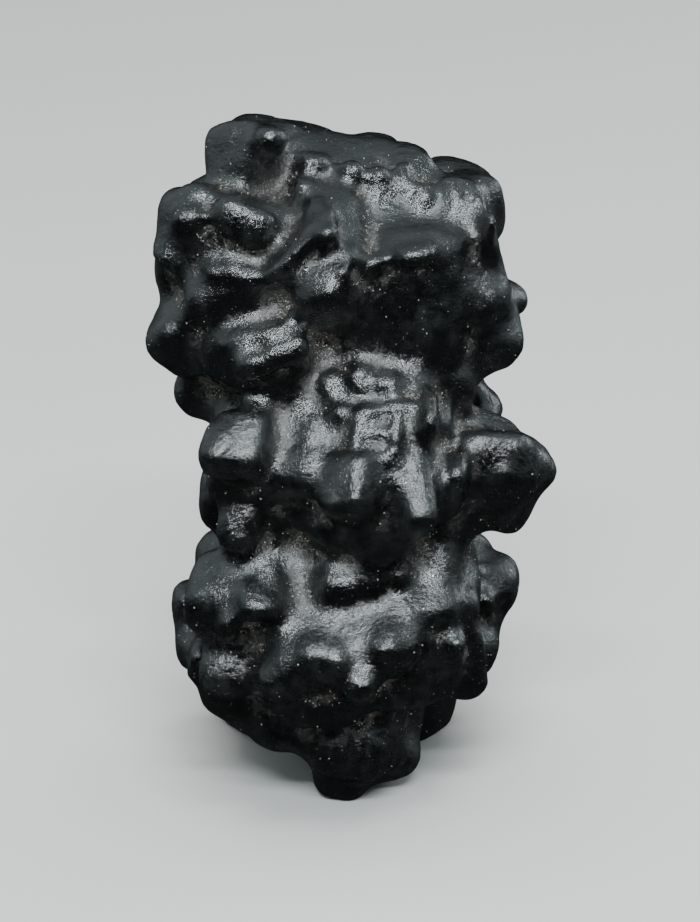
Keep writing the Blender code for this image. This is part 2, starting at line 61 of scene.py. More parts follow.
# Each row: name, (across, up), depth, (width, length, height), (nod, roll, turn), squareness.
# A block first rolls about its length, then nods forward, then turns left or right, in degrees.
# Squareness 2 is a ball and 5 a box with round corners.
FRONT_MASSES = [
    ("left notch", (-9.8, 3.9), -2.0, (3.6, 7, 4.2), (36, 0, 0), 3),
    ("left crown top", (-7.6, 26.9), 6.0, (7.0, 7.5, 3.6), (6, 8, -16), 4),
    ("left crown back", (-4.4, 26.0), 9, (8.0, 8, 5.0), (0, 14, -10), 3.4),
    ("crown saddle", (-2.5, 24.2), 5.5, (9, 10, 5.4), (14, 9, 0), 2.8),
    ("right crown", (8.9, 21.2), 2.4, (4.4, 5.4, 5.4), (34, 12, 10), 4.4),
    ("right crown edge", (10.4, 21.8), 5, (3.8, 6.6, 5.6), (0, -6, 30), 3.6),
    ("right crown foot", (9.7, 17.0), 5, (3.2, 7, 6), (0, -4, 24), 3),
    ("crown slope", (2.6, 21.3), 3.4, (12.4, 7.6, 6), (40, 3, 0), 4.6),
    ("brow shelf", (4.8, 18.8), 0.2, (10.6, 7.4, 4.0), (28, 2, 4), 4.4),
    ("left shoulder", (-10.5, 19.3), 0.4, (10.6, 10, 6.6), (-25, 4, -12), 3.8),
    ("left shoulder back", (-10.6, 21.0), 3.6, (7.6, 8, 5), (8, 2, -10), 3.4),
    ("shoulder low face", (-14.0, 16.2), 1.6, (3.8, 7, 5.0), (-8, -8, -24), 3),
    ("shoulder chin", (-12.2, 18.2), -1.4, (6.8, 6, 3.2), (10, 42, -14), 3.8),
    ("under shoulder", (-10.8, 15.9), -2.6, (4.4, 4.4, 3.2), (40, -8, -8), 3.4),
    ("cheek", (-10.6, 14.2), -3.6, (6.4, 6.0, 3.8), (-6, -16, -6), 4),
    ("cheek right", (-8.2, 14.9), -3.4, (3.0, 5.5, 3.2), (-4, -14, 6), 3),
    ("cheek foot", (-11.4, 12.3), -2.2, (3.6, 6, 3.4), (-4, 12, 0), 3),
    ("left point", (-14.0, 11.0), -0.5, (5.6, 8.0, 4.8), (18, 44, -10), 4.6),
    ("left point root", (-11.2, 10.8), 1, (5.4, 9, 6.4), (0, 10, 0), 2.8),
    ("left heel", (-12.9, 6.0), 2, (4.4, 7, 3.2), (0, 40, -6), 3.2),
    ("left heel root", (-8.6, 7.0), 0, (4.0, 8, 4.6), (-6, 20, 0), 2.8),
    ("fist", (-7.6, 9.5), -4.2, (8.0, 7.0, 5.2), (-22, -14, -6), 4),
    ("fist left edge", (-10.4, 9.0), -4.2, (2.4, 6, 4.2), (-10, 4, -30), 3),
    ("fist under", (-7.0, 7.6), -3.9, (6.6, 7, 4.4), (0, 40, -4), 4),
    ("fist top", (-7.0, 12.2), -2.8, (6.0, 6, 3.2), (-6, -8, 0), 3),
    ("dome", (-2.2, 21.2), -0.8, (5.6, 6, 3.6), (20, -6, 0), 3),
    ("temple", (-1.9, 15.4), -5.2, (4.8, 7.2, 5.4), (46, -30, 0), 4.6),
    ("brow block", (5.2, 14.1), 0.2, (7.0, 11, 12.5), (-3, -2, 8), 5),
    ("brow block left", (1.5, 13.6), 0.0, (5.0, 10.5, 12), (-2, 2, -6), 4.6),
    ("brow block middle", (3.2, 14.0), 0.2, (4, 10.6, 11.5), (-3, 0, 0), 4),
    ("block corner", (8.0, 14.2), 1.2, (3.6, 8, 9.0), (0, 3, 34), 3.8),
    ("block cheek", (8.3, 11.6), 1.2, (3.0, 8, 7), (-16, 4, 36), 3.6),
    ("block jaw", (8.6, 6.9), -1.4, (3.2, 6, 5.0), (24, 0, 16), 3.4),
    ("temple right", (10.0, 15.0), 1.2, (4.4, 8, 8.0), (-34, 4, 34), 4),
    ("temple right top", (8.6, 16.8), 1.4, (5.4, 7, 4.6), (30, 20, 16), 3.4),
    ("right bead", (13.4, 13.9), 6, (3.6, 4.2, 2.8), (0, 34, 0), 3),
    ("right cheek", (11.8, 11.1), 0.6, (5.2, 6.5, 5.0), (34, 20, 16), 4.6),
    ("right cheek foot", (9.9, 8.5), 1.2, (3.2, 6, 3.6), (-6, -24, 16), 3),
    ("right heel", (10.9, 4.5), 7, (4.2, 5, 4.0), (0, 34, 0), 3),
    ("fang roof", (2.8, 1.83), -6.7, (8.8, 11.4, 7), (48, 0, 0), 5.5),
    ("fang left face", (-3.6, 0.4), -7.4, (6.0, 8.2, 6), (44, -14, -14), 5),
    ("fang shoulder", (-3.8, 2.6), -6.0, (6.4, 6.6, 5), (44, -8, -6), 4.5),
    ("fang right lobe", (7.0, -2.3), -8.0, (2.6, 6.0, 5.4), (30, 8, 34), 4),
    ("left ledge root", (-6.9, 1.2), -6.6, (3.0, 7, 4.4), (34, 0, -6), 3),
    ("left ledge under", (-9.3, -1.2), -5.8, (5.4, 8, 4.0), (-8, 12, -10), 3),
    ("ledge lobe under", (-6.2, -4.2), -6.4, (3.2, 6, 3.2), (-10, 0, 0), 3),
    ("left hip", (-10.9, -2.7), 0.2, (3.8, 7, 5.4), (0, 4, 0), 3),
    ("left hip low", (-9.5, -5.8), 0.8, (3.2, 7, 4.6), (0, 6, 0), 3),
    ("right point back", (11.2, 1.4), -0.6, (7.4, 7.5, 4.4), (14, 28, 10), 4),
    ("right point tip", (15.2, -0.3), -1.6, (4.2, 5.0, 3.8), (10, 40, 12), 3.6),
    ("right point face", (11.6, -1.4), -4.6, (6.8, 5, 4.6), (-10, 6, 10), 4),
    ("right point under", (12.3, -2.6), -2.0, (6.4, 7, 5.4), (-10, 44, 12), 3.6),
    ("right point root", (8.6, -3.2), -2.4, (5.0, 9, 7.0), (-8, 6, 10), 3),
    ("right hip", (12.3, -10.6), 6, (4.2, 6, 5.6), (0, 8, 0), 3),
    ("right hip low", (10.9, -15.6), 3.6, (3.6, 6, 4.8), (0, 8, 0), 3),
    ("left haunch", (-9.4, -10.9), -8.8, (8.6, 6.4, 5), (33, -4, -12), 4.8),
    ("left haunch edge", (-12.2, -12.4), -6.6, (3.4, 6, 3.4), (-4, -16, -14), 3),
    ("left haunch lobe", (-9.4, -15.9), -8.0, (3.8, 5, 3.2), (-8, 6, -6), 3),
    ("left rim bead", (-13.7, -11.9), 2.4, (3.0, 5, 3.8), (0, 0, 0), 2.8),
    ("left rim low bead", (-13.2, -15.6), 1.0, (3.2, 5.4, 3.8), (0, -14, 0), 2.8),
    ("left lower lobe", (-10.4, -17.6), -9.0, (4.6, 5, 4.0), (52, 10, -16), 3.4),
    ("left lower body", (-9.2, -18.9), -2.8, (6.4, 8.5, 6.0), (-14, 22, -8), 3),
    ("middle saddle", (-3.4, -8.6), -7.0, (5.6, 6.5, 4.8), (54, 0, 0), 3),
    ("right saddle", (6.6, -8.6), -6.4, (5.2, 6.0, 5.0), (52, -4, 0), 3.2),
    ("right saddle back", (9.2, -9.8), -3.4, (3.6, 6, 4.6), (24, 0, 10), 3),
    ("right ridge", (2.2, -14.3), -10.8, (7.8, 8.0, 5.0), (40, -4, -4), 4.4),
    ("right ridge crest", (6.9, -11.7), -8.4, (4.8, 6.0, 4.6), (34, 14, 10), 4),
    ("right ridge under", (6.4, -15.4), -8.4, (6.4, 6.6, 4.4), (-6, 4, 8), 3.4),
    ("front lobe", (-3.0, -15.9), -11.8, (6.4, 6.8, 5), (40, 0, -6), 5),
    ("front left lobe", (-6.0, -18.4), -13.0, (3.2, 4.2, 4.0), (40, -12, -12), 3.4),
    ("front right lobe", (0.8, -18.8), -14.2, (2.8, 3.8, 3.6), (42, -6, 6), 3.8),
    ("front under", (-2.6, -20.0), -8.8, (8.4, 8, 4.6), (-8, 0, 0), 3.4),
    ("right flank", (5.2, -17.5), -6.6, (8.2, 9, 5.8), (-10, -14, 10), 3.2),
    ("right flank edge", (9.2, -17.7), -1.6, (4.4, 6.5, 4.6), (-8, -26, 16), 3),
    ("keel", (0.0, -23.6), -4.4, (9.0, 10, 6.4), (-20, 0, 0), 3),
    ("keel left lobe", (-6.0, -21.9), -3.6, (5.0, 8, 4.4), (-10, 22, -6), 3),
    ("keel tip", (-0.6, -26.3), -3.6, (4.6, 6, 4.8), (-6, 20, 0), 3),
    ("keel tip right", (3.5, -24.5), -1.8, (5.2, 6.4, 4.4), (-8, -14, 0), 3.2),
]

# Each row: name, middle (x, y, z), (width, length, height), (nod, roll, turn), squareness
HIDDEN_MASSES = [
    ("head core", (0.5, 3.4, 45.5), (20, 13.5, 13.5), (0, 0, 0), 2.8),
    ("neck core", (0, 1.5, 37), (17, 14, 14), (0, 0, 0), 2.6),
    ("waist core", (0, -0.5, 27), (17, 15, 12), (0, 0, 0), 2.6),
    ("haunch core", (0, 0, 15), (21, 17, 15), (0, 0, 0), 2.6),
    ("back crown", (-3.8, 9, 51.0), (10.5, 9, 8.6), (-6, 10, 0), 3.4),
    ("back crown right", (6.6, 9, 47.6), (8.6, 9, 10), (-4, -6, -30), 3.4),
    ("back shoulder", (-9, 8, 46), (9, 9, 9), (0, 14, 30), 3.6),
    ("back block", (-1, 11, 43), (9, 7, 9), (0, 30, 6), 3.8),
    ("back neck left", (-8, 8, 35), (8, 8, 8), (0, 40, 16), 3.4),
    ("back neck right", (7, 9, 37), (9, 8, 8), (0, -30, -10), 3.6),
    ("back point", (-1, 11, 32), (9, 8, 8), (-16, 45, 0), 3.8),
    ("back waist left", (-9, 7, 25), (7, 8, 7), (0, 10, 20), 3.2),
    ("back waist right", (8, 9, 26), (7, 8, 7), (0, 30, -20), 3.2),
    ("back haunch left", (-9, 8, 16), (9, 9, 8), (0, -14, 30), 3.6),
    ("back haunch", (0, 11, 19), (9, 8, 8), (0, 36, 0), 3.6),
    ("back haunch right", (8, 9, 15), (9, 9, 9), (0, 14, -30), 3.6),
    ("back foot left", (-8.2, 9.6, 4.4), (8.5, 8.5, 13), (0, -10, 30), 3.4),
    ("back foot right", (5.5, 8.8, 4.4), (7.6, 8.6, 13), (0, 8, -30), 3.4),
    ("saddle core", (0.5, -1.5, 19.5), (21, 16, 8), (8, 0, 0), 3.6),
    ("keel core", (0, 2, 7), (13, 12, 12), (0, 0, 0), 2.6),
]

tilt = math.radians(EYE_TILT)
middle = Vector((0, 0, PLANE_MIDDLE))
to_eye = Vector((0, -math.cos(tilt), math.sin(tilt)))
picture_up = Vector((0, math.sin(tilt), math.cos(tilt)))
eye = middle + EYE_DISTANCE * to_eye


def sight(across, up):
    """The direction from the eye through a point of the picture plane."""
    return (middle + Vector((across, 0, 0)) + up * picture_up - eye).normalized()


def at_depth(across, up, depth):
    """Where the line of sight through a point of the picture plane has y = depth."""
    line = sight(across, up)
    return eye + line * ((depth - eye.y) / line.y)


def unit_cube():
    """A cube from -1 to 1 with a grid of points that is even when seen from its middle."""
    cage = bmesh.new()
    bmesh.ops.create_cube(cage, size=2)
    bmesh.ops.subdivide_edges(cage, edges=cage.edges[:], cuts=BLOCK_CUTS, use_grid_fill=True)
    points = np.tan(np.array([v.co for v in cage.verts]) * math.pi / 4)
    faces = [[v.index for v in face.verts] for face in cage.faces]
    cage.free()
    return points, faces


cube_points, cube_faces = unit_cube()


def soft_block(place, size, turns, squareness, skew):
    """The points of one block: a superellipsoid whose sides draw in or spread a little."""
    reach = (np.abs(cube_points) ** squareness).sum(1) ** (1 / squareness)
    unit = cube_points / reach[:, None]
    points = unit * np.array(size) / 2
    points[:, 0] *= 1 + skew[0] * unit[:, 2] + skew[1] * unit[:, 1]
    points[:, 2] *= 1 + skew[2] * unit[:, 0] + skew[3] * unit[:, 1]
    turn = np.array(Euler([math.radians(a) for a in turns], "YXZ").to_matrix())
    return points @ turn.T + np.array(place)


def gather(blocks, grown=None):
    """One object of all the blocks, each (place, size, turns, squareness), and of the stone so far."""
    chance = np.random.default_rng(BLOCK_SEED)
    points, faces = [], []
    for place, size, turns, squareness in blocks:
        start = len(points)
        skew = chance.uniform(-BLOCK_SKEW, BLOCK_SKEW, 4)
        points.extend(soft_block(place, size, turns, squareness, skew).tolist())
        faces.extend([[i + start for i in face] for face in cube_faces])
    if grown:
        start = len(points)
        points.extend([tuple(v.co) for v in grown.data.vertices])
        faces.extend([[i + start for i in face.vertices] for face in grown.data.polygons])
        bpy.data.objects.remove(grown)
    mesh = bpy.data.meshes.new("stone_skin")
    mesh.from_pydata(points, [], faces)
    joined = bpy.data.objects.new("stone_skin", mesh)
    bpy.context.scene.collection.objects.link(joined)
    return joined


def settle_modifiers(thing):
    """Turns what the modifiers make into the object's own mesh."""
    graph = bpy.context.evaluated_depsgraph_get()
    made = bpy.data.meshes.new_from_object(thing.evaluated_get(graph))
    thing.modifiers.clear()
    thing.data = made


def draw_skin(grown, fill):
    """Fuses the blocks into one skin and fills every crease to a radius of fill."""
    for label, swell in (("swell", fill), ("shrink", -fill), ("settle", 0)):
        fuse = grown.modifiers.new("fuse before " + label, "REMESH")
        fuse.mode = "VOXEL"
        fuse.voxel_size = SKIN_GRAIN
        if swell:
            shift = grown.modifiers.new(label, "DISPLACE")
            shift.mid_level = 0
            shift.strength = swell
    soften = grown.modifiers.new("soften", "SMOOTH")
    soften.iterations = SMOOTH_PASSES
    soften.factor = SMOOTH_SHARE
    settle_modifiers(grown)


masses = [(at_depth(*spot, depth), *rest) for _, spot, depth, *rest in FRONT_MASSES]
masses += [(Vector(place), *rest) for _, place, *rest in HIDDEN_MASSES]
skin = gather(masses)
draw_skin(skin, VALLEY_FILL)

# The lumps. Smaller crystals of the same iron oxide, grown on the masses or stepping out of them, with
# creases half as wide between. Their rows read as those of the front masses do.
LUMP_FILL = 0.45
LUMPS = [
    ("right crown face", (10.6, 19.0), 0.35, (2.8, 4.5, 5.4), (-34, -8, 30), 3.6),
    ("right point", (11.9, 0.1), -4.4, (7.4, 6.5, 5.0), (-16, 6, 12), 5),
    ("left ledge corner", (-11.0, 0.9), -9.8, (3.4, 4.2, 3.6), (40, 4, -24), 4.4),
    ("left ledge", (-9.2, 1.2), -9.0, (4.4, 5.8, 4.2), (40, 2, -4), 5),
    ("fang", (2.7, -4.7), -8.3, (6.0, 7.5, 6.2), (2, 45, 0), 4.6),
    ("fang right lip", (5.4, -3.3), -11.2, (3.0, 6.0, 4.2), (48, 8, 12), 5),
    ("fang left lip", (0.1, -2.3), -11.6, (4.6, 5.6, 4.2), (48, -26, -10), 4.6),
    ("left crown finger", (-6.9, 27.1), 0.7, (2.8, 3.8, 2.7), (-8, 28, 10), 3),
    ("left crown", (-8.9, 25.7), 3.5, (5.4, 5.8, 5.6), (-26, -22, -36), 5),
    ("crown back knuckle", (2.2, 25.7), 8.4, (4.4, 6, 3.6), (0, 4, 0), 3.4),
    ("crown middle", (-0.4, 24.6), 9, (4.4, 6, 3.6), (0, 6, 0), 3),
    ("crown right knuckle", (4.9, 24.7), 6, (3.4, 6, 4.2), (0, 14, 8), 3.6),
    ("crown far knuckle", (9.1, 23.5), 9.5, (6.6, 6, 3.8), (0, 12, 0), 3),
    ("temple crest right", (10.8, 17.4), 0.6, (1.8, 5.0, 4.2), (10, 30, 20), 3),
    ("temple crest", (5.2, 18.9), -2.2, (9.0, 3.0, 1.8), (10, 4, -6), 2.8),
    ("shoulder tail", (-6.6, 19.2), -2.6, (4.2, 5, 2.8), (0, 34, 0), 3),
    ("shoulder low ridge", (-14.2, 17.4), -1.4, (5.2, 6, 1.9), (0, 30, -14), 3),
    ("fist crest", (-7.8, 10.6), -6.0, (6.8, 5, 2.2), (-10, -16, -6), 3.4),
    ("slab", (-4.6, 18.4), -3.8, (8.6, 7.0, 2.0), (-4, -46, 4), 4.6),
    ("fang under layer", (-1.6, -4.6), -6.8, (7.6, 8, 2.6), (10, 38, -6), 3.2),
    ("fang last layer", (-1.6, -6.3), -5.4, (6.8, 8, 2.2), (8, 40, -6), 3),
    ("fang chin", (2.6, -5.8), -6.8, (5.2, 8, 4.4), (0, 0, 0), 3),
    ("ledge lobe", (-6.0, -1.7), -8.6, (3.2, 3.6, 2.4), (36, 14, 0), 3.4),
    ("oval knob", (-9.3, -5.5), -8.6, (3.4, 4.4, 4.4), (-24, 10, -12), 4),
    ("left rim rib", (-12.7, -16.6), -2.6, (1.8, 5, 4.0), (0, 10, -10), 2.8),
    ("middle bead", (-0.9, -10.4), -9.4, (4.2, 5, 3.4), (-6, 6, 0), 3.2),
    ("right rib", (10.2, -15.2), -3.8, (1.6, 5, 5.0), (4, -10, 20), 3),
]

skin = gather([(at_depth(*spot, depth), *rest) for _, spot, depth, *rest in LUMPS], skin)
draw_skin(skin, LUMP_FILL)

# The knobs. Crystal tips and ribs that only just stand out of the skin. Each sits where its line of sight
# meets the skin, lifted towards the eye: name, (across, up), lift, size, turns, squareness.
KNOB_FILL = 0.3
KNOBS = [
    ("fang left bead", (-0.8, 4.2), 0.2, (1.6, 1.8, 1.0), (44, 0, 0), 2.8),
    ("fang bead far", (3.2, 6.6), 0.2, (2.2, 2.0, 1.2), (44, 0, 0), 2.8),
    ("fang step left side", (0.5, 2.6), 0.3, (0.9, 3.0, 1.2), (46, 0, -6), 3),
    ("fang step middle", (3.9, 2.4), 0.3, (0.9, 3.6, 1.2), (46, 0, 0), 3),
    ("fang step side", (5.6, 3.2), 0, (0.9, 3.0, 1.2), (48, 0, 6), 3),
    ("fang low step", (2.2, 0.2), -0.4, (3.4, 1.1, 1.0), (48, 0, 0), 3),
    ("right crown facet", (9.0, 23.0), -0.2, (2.2, 2.6, 1.2), (30, 16, 14), 3.2),
    ("right crown rib", (11.6, 19.6), 0.2, (0.9, 2.4, 3.4), (0, 6, 30), 2.8),
    ("right crown bead", (10.6, 22.6), -0.1, (1.1, 3.6, 1.4), (30, 10, 24), 2.8),
    ("cheek bead", (-8.6, 15.9), 0, (1.8, 2.6, 1.5), (24, -14, 0), 3),
    ("under shoulder bead", (-10.0, 16.4), 0, (1.6, 2.6, 1.5), (30, 0, 0), 3),
    ("under shoulder bump", (-11.4, 16.2), 0, (1.8, 2.6, 1.6), (30, 0, 0), 3),
    ("ring knob", (-3.1, 25.2), 0.4, (2.6, 2.6, 1.9), (-6, 6, 0), 3.6),
    ("seed knob", (-4.0, 23.3), 0.3, (1.7, 2.2, 1.3), (-6, 0, 0), 3),
    ("dark knob", (0.0, 24.4), 0.9, (1.9, 2.4, 2.2), (-8, 0, 0), 3),
    ("long knob", (2.4, 23.6), 0.9, (1.7, 2.4, 2.8), (-8, 8, 0), 3),
    ("bright knob", (4.5, 23.7), 0.5, (1.4, 3.4, 2.0), (50, 4, 0), 3),
    ("small bright knob", (6.3, 22.4), 0.4, (1.2, 2.6, 1.6), (48, 0, 0), 3),
    ("slope rib", (3.3, 22.4), 0.3, (1.0, 4.4, 1.4), (54, 6, 4), 2.8),
    ("slope rib left", (2.0, 21.4), -0.2, (1.6, 3.2, 1.0), (54, -4, 0), 2.8),
    ("slope rib right", (5.6, 21.8), 0, (1.1, 3.0, 1.2), (54, -8, 0), 2.8),
    ("shoulder left knob", (-13.7, 20.6), 0.3, (2.8, 2.8, 2.1), (-10, -4, -14), 3.2),
    ("shoulder left brow", (-13.1, 22.9), 0.1, (2.6, 2.6, 1.1), (10, -6, 0), 3),
    ("shoulder right knob", (-9.0, 20.3), -0.2, (5.0, 3.4, 3.0), (-12, 26, -4), 4),
    ("fist knuckle", (-5.4, 9.3), 0.3, (3.8, 3.4, 2.4), (-14, -14, 8), 3.4),
    ("fist lower knuckle", (-8.0, 8.2), 0.3, (3.6, 3.4, 2.4), (-8, -12, -10), 3.2),
    ("fist bead", (-4.2, 8.3), 0.2, (1.7, 2.6, 1.6), (-6, 0, 0), 3),
    ("slab head", (-1.9, 19.3), 0, (1.8, 3, 1.8), (0, -30, 0), 3.2),
    ("dome bead", (-3.0, 21.5), 0, (1.5, 3, 1.4), (0, 0, 0), 2.6),
    ("temple knob", (0.4, 19.4), 0, (1.4, 2.6, 1.6), (30, 6, 0), 2.8),
    ("brow bead", (-0.2, 17.6), 0.2, (1.5, 2.6, 1.4), (16, 8, 0), 3.2),
    ("brow curl", (0.9, 16.9), 0.3, (1.2, 2.4, 1.8), (10, -10, 0), 3),
    ("brow finger", (2.1, 16.6), 0.3, (0.9, 2.4, 2.4), (10, 26, 0), 3),
    ("brow seam", (-0.4, 15.8), 0.2, (0.8, 2.4, 2.2), (10, -6, 0), 2.8),
    ("brow ridge", (5.5, 17.6), 0.2, (3.6, 3.4, 1.8), (4, -8, 8), 3.4),
    ("fang bead", (-1.6, 6.4), 0.2, (2.2, 2.4, 1.6), (44, 0, 0), 2.8),
    ("fang bead right", (0.8, 7.0), 0.2, (2.0, 2.4, 1.4), (44, 0, 0), 2.8),
    ("fang step left", (1.5, 4.1), 0.3, (2.4, 1.0, 1.2), (46, 0, -6), 3),
    ("fang step right", (4.4, 4.5), 0.1, (2.8, 1.2, 1.4), (48, 4, 8), 3.4),
    ("fang ridge", (2.2, 2.3), 0.1, (3.0, 0.9, 1.1), (48, 0, 0), 3),
    ("fang right rib", (6.7, 3.8), 0.2, (1.6, 5, 3.6), (20, 4, 0), 2.8),
    ("fang right rib back", (7.9, 3.4), 0.2, (1.4, 5, 3.6), (16, 0, 0), 2.8),
    ("right point bead", (13.1, -0.8), -0.3, (1.4, 2, 1.3), (30, 6, 0), 2.6),
    ("right point lobe", (9.0, -1.0), 0, (2.2, 4, 3.0), (6, 0, 0), 2.8),
    ("left haunch bump", (-7.8, -11.8), -0.5, (3.4, 4, 2.2), (30, 6, 6), 3),
    ("left haunch bead", (-10.4, -13.6), 0.4, (1.8, 2.6, 2.8), (34, 18, 0), 2.8),
    ("middle bead right", (1.7, -9.9), 0.2, (2.6, 3.4, 2.4), (-10, 0, 0), 3),
    ("middle bead far", (4.1, -9.6), 0.2, (2.4, 3.4, 2.4), (-10, 0, 0), 3),
    ("right ridge bump", (3.0, -15.3), -0.5, (2.6, 3.4, 1.8), (34, -10, 0), 3),
    ("right ridge bead", (9.0, -15.2), 0, (1.7, 3, 1.6), (0, 0, 0), 2.8),
    ("right rib top", (9.8, -11.8), 0, (2.2, 5, 3.0), (6, 0, 10), 2.8),
    ("right rim bead", (11.5, -11.6), 0, (1.8, 4, 2.6), (0, 0, 0), 2.8),
    ("front lobe bump", (-3.2, -16.1), -0.5, (2.6, 3.0, 2.0), (34, 0, 0), 3),
    ("front lobe right bump", (-1.1, -16.6), -0.5, (1.8, 2.8, 2.0), (34, 8, 0), 3),
    ("keel bead", (-1.4, -23.8), -0.3, (3.0, 4, 3.0), (-8, 0, 0), 3),
]


def on_the_skin(grown, rows):
    """Moves each knob to where its line of sight meets the skin, and towards the eye by its lift."""
    surface = BVHTree.FromObject(grown, bpy.context.evaluated_depsgraph_get())
    knobs = []
    for _, (across, up), lift, size, turns, squareness in rows:
        line = sight(across, up)
        place = surface.ray_cast(eye, line)[0]
        knobs.append((place - lift * line, size, turns, squareness))
    return knobs


skin = gather(on_the_skin(skin, KNOBS), skin)
draw_skin(skin, KNOB_FILL)

# The skin's own relief. Growth and wind left the stone gently hammered: low swells all over, patches of
# small pebbled crystal ends, and fine pits. Then the feet: three lobes worn flat, which the stone stands on.
RELIEF = {"Swell Size": 4.2, "Swell Height": 0.24, "Pebble Size": 1.9, "Pebble Height": 0.24,
          "Patch Size": 7.0, "Pit Size": 0.75, "Pit Height": 0.07}
SWELL_PLACE = (3.0, 7.0, 1.0)
PATCH_PLACE = (11.0, 2.0, 5.0)
PIT_PLACE = (0.0, 5.0, 9.0)
PATCH_EDGE = (0.42, 0.62)
PATCH_LEAST = 0.15
PEBBLE_DOME = 0.3
PEBBLE_SOFTNESS = 0.35
BEND_SCALE = 0.4
BEND_REACH = (1.6, 1.6, 1.6)
METRE = 0.001


def place_node(tree, kind, inputs=(), **settings):
    """Adds a node, sets its properties, and joins or fills its inputs from (socket, value) pairs."""
    node = tree.nodes.new(kind)
    for key, value in settings.items():
        setattr(node, key, value)
    for key, value in inputs:
        if isinstance(value, bpy.types.NodeSocket):
            tree.links.new(value, node.inputs[key])
        else:
            node.inputs[key].default_value = value
    return node


def maths(tree, operation, *values, **settings):
    """The result of a Math node on up to three values."""
    return place_node(tree, "ShaderNodeMath", enumerate(values), operation=operation, **settings).outputs[0]


def ramp(tree, value, low, high, to_low=0.0, to_high=1.0, curve="SMOOTHSTEP"):
    """A value between low and high, turned into one between to_low and to_high."""
    return place_node(tree, "ShaderNodeMapRange", [
        ("Value", value), ("From Min", low), ("From Max", high), ("To Min", to_low), ("To Max", to_high)],
        interpolation_type=curve).outputs[0]


def new_tree(name, numbers):
    """A geometry tree with one float input for each name, and its group input and output nodes."""
    tree = bpy.data.node_groups.new(name, "GeometryNodeTree")
    tree.interface.new_socket("Geometry", in_out="INPUT", socket_type="NodeSocketGeometry")
    for label in numbers:
        tree.interface.new_socket(label, in_out="INPUT", socket_type="NodeSocketFloat")
    tree.interface.new_socket("Geometry", in_out="OUTPUT", socket_type="NodeSocketGeometry")
    return tree, tree.nodes.new("NodeGroupInput").outputs, tree.nodes.new("NodeGroupOutput")


def run_tree(thing, tree, numbers):
    """Puts the tree on an object with its numbers set by the sockets' identifiers."""
    modifier = thing.modifiers.new(tree.name, "NODES")
    modifier.node_group = tree
    for item in tree.interface.items_tree:
        if item.in_out == "INPUT" and item.name in numbers:
            modifier[item.identifier] = float(numbers[item.name])
    return modifier


def relief_tree(finish):
    """Moves every point along its normal by the sum of swells, pebbles and pits, and gives the finish."""
    tree, given, out = new_tree("skin relief", RELIEF)

    def noise(size, detail, offset):
        moved = place_node(tree, "ShaderNodeVectorMath", [(0, spot), (1, offset)], operation="ADD")
        return place_node(tree, "ShaderNodeTexNoise", [
            ("Vector", moved.outputs[0]), ("Scale", maths(tree, "DIVIDE", 1.0, size)), ("Detail", detail),
            ("Roughness", 0.5)]).outputs[0]

    def rise(pattern, height):
        return maths(tree, "MULTIPLY", maths(tree, "SUBTRACT", pattern, 0.5), height)

    spot = tree.nodes.new("GeometryNodeInputPosition").outputs[0]
    swell = rise(noise(given["Swell Size"], 1.0, SWELL_PLACE), given["Swell Height"])
    pit = rise(noise(given["Pit Size"], 2.0, PIT_PLACE), given["Pit Height"])
    bend = place_node(tree, "ShaderNodeTexNoise", [("Vector", spot), ("Scale", BEND_SCALE), ("Detail", 1.0)])
    bent = place_node(tree, "ShaderNodeVectorMath", [(0, bend.outputs[1]), (1, BEND_REACH), (2, spot)],
                      operation="MULTIPLY_ADD")
    cells = place_node(tree, "ShaderNodeTexVoronoi", [
        ("Vector", bent.outputs[0]), ("Scale", maths(tree, "DIVIDE", 1.0, given["Pebble Size"])),
        ("Smoothness", PEBBLE_SOFTNESS)], feature="SMOOTH_F1").outputs["Distance"]
    dome = maths(tree, "SUBTRACT", PEBBLE_DOME, maths(tree, "MULTIPLY", cells, cells))
    patch = ramp(tree, noise(given["Patch Size"], 0.0, PATCH_PLACE), *PATCH_EDGE, PATCH_LEAST)
    pebble = maths(tree, "MULTIPLY", maths(tree, "MULTIPLY", dome, given["Pebble Height"]), patch)
    height = maths(tree, "ADD", maths(tree, "ADD", swell, pebble), pit)
    outward = tree.nodes.new("GeometryNodeInputNormal").outputs[0]
    lift = place_node(tree, "ShaderNodeVectorMath", [(0, outward), ("Scale", height)], operation="SCALE")
    moved = place_node(tree, "GeometryNodeSetPosition", [
        ("Geometry", given["Geometry"]), ("Offset", lift.outputs[0])])
    real = place_node(tree, "GeometryNodeRealizeInstances", [(0, moved.outputs[0])])
    coated = place_node(tree, "GeometryNodeSetMaterial", [(0, real.outputs[0]), ("Material", finish)])
    tree.links.new(coated.outputs[0], out.inputs[0])
    return tree


def corners(thing):
    """An object's points as an array."""
    points = np.empty(len(thing.data.vertices) * 3, np.float32)
    thing.data.vertices.foreach_get("co", points)
    return points.reshape(-1, 3)


bare = corners(skin)
shift = (bare.min(0) + bare.max(0)) / 2 * (1, 1, 0)
black = bpy.data.materials.new("black_iron_oxide")
run_tree(skin, relief_tree(black), RELIEF)
settle_modifiers(skin)

points = (corners(skin) - shift) * METRE
points[:, 2] = np.maximum(points[:, 2], 0)
skin.data.vertices.foreach_set("co", points.astype(np.float32).ravel())
skin.data.update()
skin.data.shade_smooth()

# The depth of the creases, from 0 on the open skin to 1 at the bottom, for narrow and for wide ones. Dust,
# pale crust and a dull skin gather where handling and wind don't reach, so the finish reads both.
# Each row: attribute, smoothing steps, and the depth in millimetres that counts as 1.
CREASES = (("narrow_crease", 4, 0.05), ("wide_crease", 40, 0.55))


